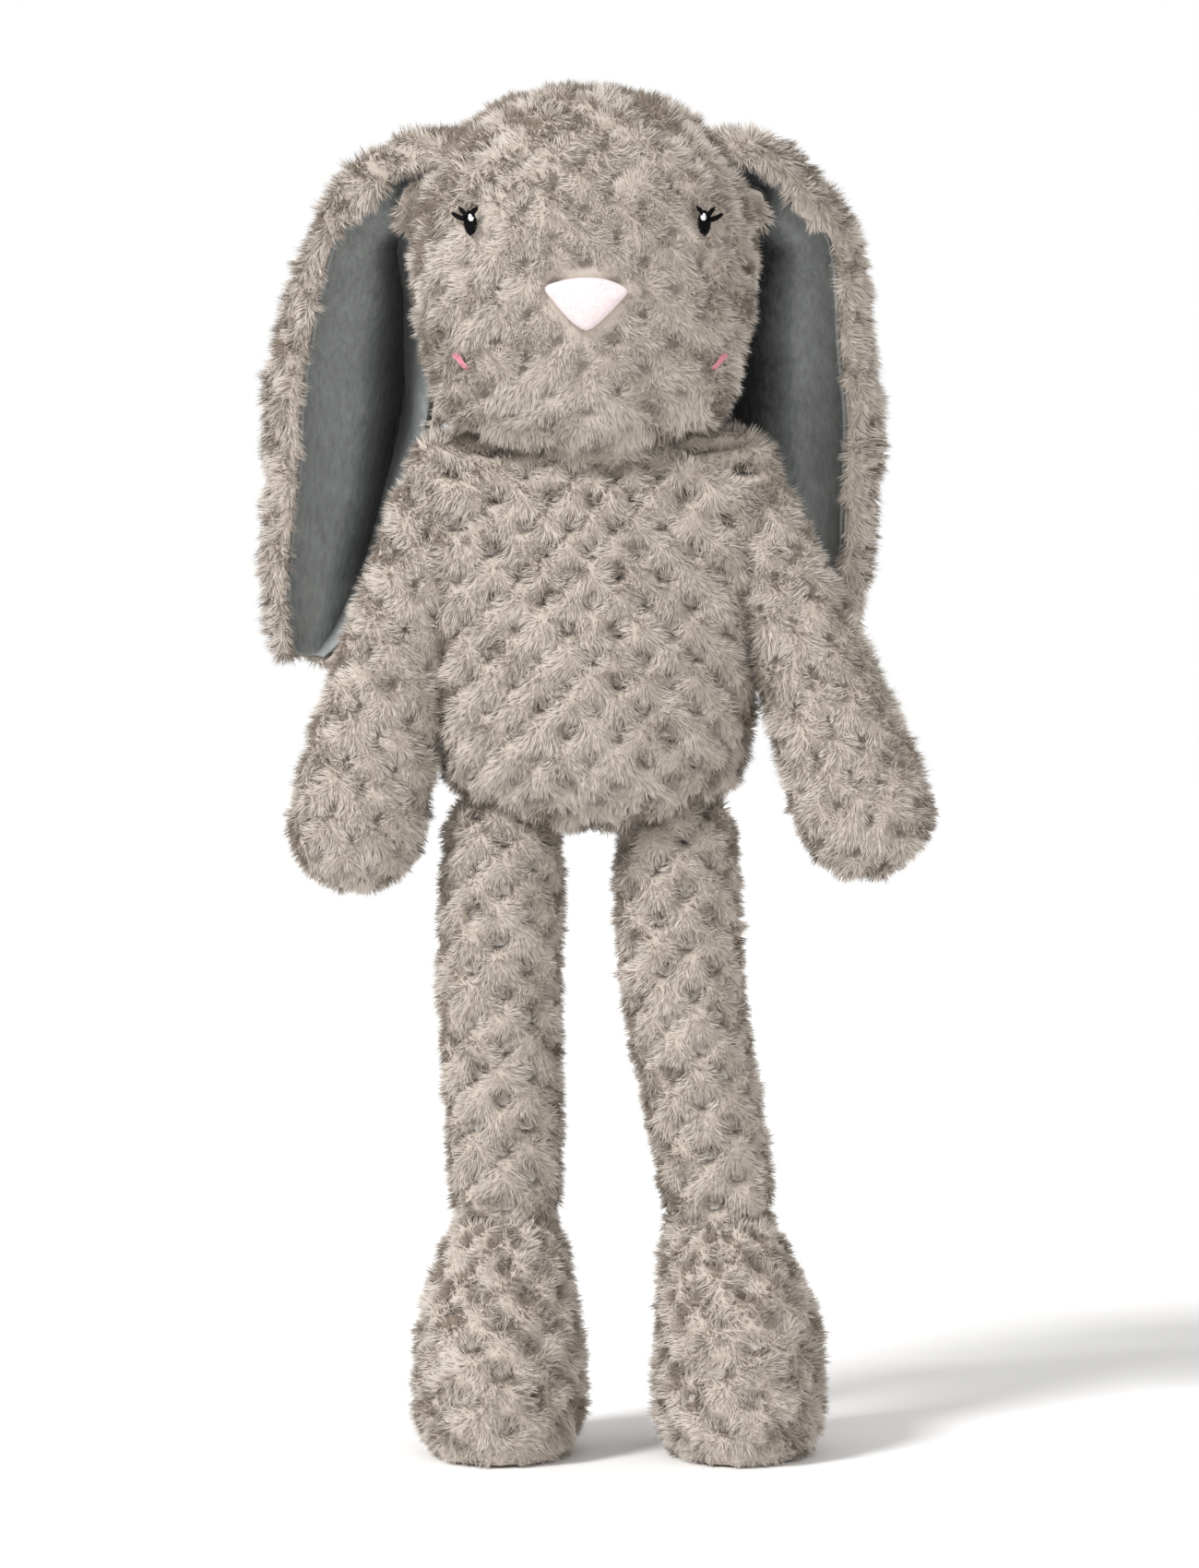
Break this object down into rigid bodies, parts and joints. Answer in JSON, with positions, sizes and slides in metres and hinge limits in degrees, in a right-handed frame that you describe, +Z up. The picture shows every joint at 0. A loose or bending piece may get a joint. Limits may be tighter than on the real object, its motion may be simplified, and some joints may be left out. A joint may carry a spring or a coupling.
{
  "type": "stuffed bunny rabbit",
  "caption": "Long-legged lop-eared plush bunny with jointed head, ears, arms, legs and feet, standing on flat soles.",
  "frame": {"origin": "on the surface under the middle of the toy's box, between the feet", "axes": "+Z up along the standing toy, -Y the way the bunny looks, +X the bunny's own left"},
  "size_m": [0.2216, 0.1346, 0.4458],
  "materials": {
    "plush": "matte",
    "ear_lining": "matte",
    "nose_fleece": "matte",
    "black_thread": "satin",
    "white_thread": "satin",
    "pink_thread": "satin",
    "seam_thread": "matte",
    "label": "satin",
    "stuffing": "matte",
    "bean_bag": "matte"
  },
  "bodies": {
    "torso": {"body_front_panel": "plush", "body_back_left_panel": "plush", "body_back_right_panel": "plush", "closing_seam": "seam_thread", "tail": "plush", "care_label": "label", "body_stuffing": "stuffing", "bean_bag": "bean_bag"},
    "neck": {"neck_seam": "seam_thread"},
    "head": {"face_panel": "plush", "head_back_panel": "plush", "head_stuffing": "stuffing", "nose": "nose_fleece", "left_eye": "black_thread", "right_eye": "black_thread", "left_eye_glint": "white_thread", "right_eye_glint": "white_thread", "left_cheek": "pink_thread", "right_cheek": "pink_thread"},
    "left_ear": {"left_ear_outer": "plush", "left_ear_lining": "ear_lining"},
    "right_ear": {"right_ear_outer": "plush", "right_ear_lining": "ear_lining"},
    "left_arm": {"left_arm_front_panel": "plush", "left_arm_back_panel": "plush", "left_arm_stuffing": "stuffing"},
    "right_arm": {"right_arm_front_panel": "plush", "right_arm_back_panel": "plush", "right_arm_stuffing": "stuffing"},
    "left_leg": {"left_leg_sleeve": "plush", "left_leg_stuffing": "stuffing"},
    "right_leg": {"right_leg_sleeve": "plush", "right_leg_stuffing": "stuffing"},
    "left_foot": {"left_foot_upper": "plush", "left_foot_sole": "plush", "left_foot_stuffing": "stuffing"},
    "right_foot": {"right_foot_upper": "plush", "right_foot_sole": "plush", "right_foot_stuffing": "stuffing"}
  },
  "joints": [
    {"name": "neck_turn", "type": "hinge", "parent": "torso", "child": "neck", "pos_m": [-0.0005, -0.0073, 0.329], "axis": [0, 0, 1], "range_deg": [-10, 10]},
    {"name": "neck_nod", "type": "hinge", "parent": "neck", "child": "head", "pos_m": [-0.0005, -0.0073, 0.329], "axis": [1, 0, 0], "range_deg": [-10, 15]},
    {"name": "left_ear_lift", "type": "hinge", "parent": "head", "child": "left_ear", "pos_m": [0.054, -0.0043, 0.427], "axis": [0, -1, 0], "range_deg": [0, 100]},
    {"name": "right_ear_lift", "type": "hinge", "parent": "head", "child": "right_ear", "pos_m": [-0.059, -0.0053, 0.427], "axis": [0, 1, 0], "range_deg": [0, 100]},
    {"name": "left_shoulder_swing", "type": "hinge", "parent": "torso", "child": "left_arm", "pos_m": [0.051, -0.0093, 0.308], "axis": [1, 0, 0], "range_deg": [-120, 0]},
    {"name": "right_shoulder_swing", "type": "hinge", "parent": "torso", "child": "right_arm", "pos_m": [-0.052, -0.0093, 0.308], "axis": [1, 0, 0], "range_deg": [-120, 0]},
    {"name": "left_hip_swing", "type": "hinge", "parent": "torso", "child": "left_leg", "pos_m": [0.027, -0.0073, 0.187], "axis": [1, 0, 0], "range_deg": [-90, 20]},
    {"name": "right_hip_swing", "type": "hinge", "parent": "torso", "child": "right_leg", "pos_m": [-0.0305, -0.0073, 0.187], "axis": [1, 0, 0], "range_deg": [-90, 20]},
    {"name": "left_ankle_flex", "type": "hinge", "parent": "left_leg", "child": "left_foot", "pos_m": [0.0405, -0.0073, 0.08], "axis": [1, 0, 0], "range_deg": [-30, 25]},
    {"name": "right_ankle_flex", "type": "hinge", "parent": "right_leg", "child": "right_foot", "pos_m": [-0.029, -0.0073, 0.08], "axis": [1, 0, 0], "range_deg": [-30, 25]}
  ]
}
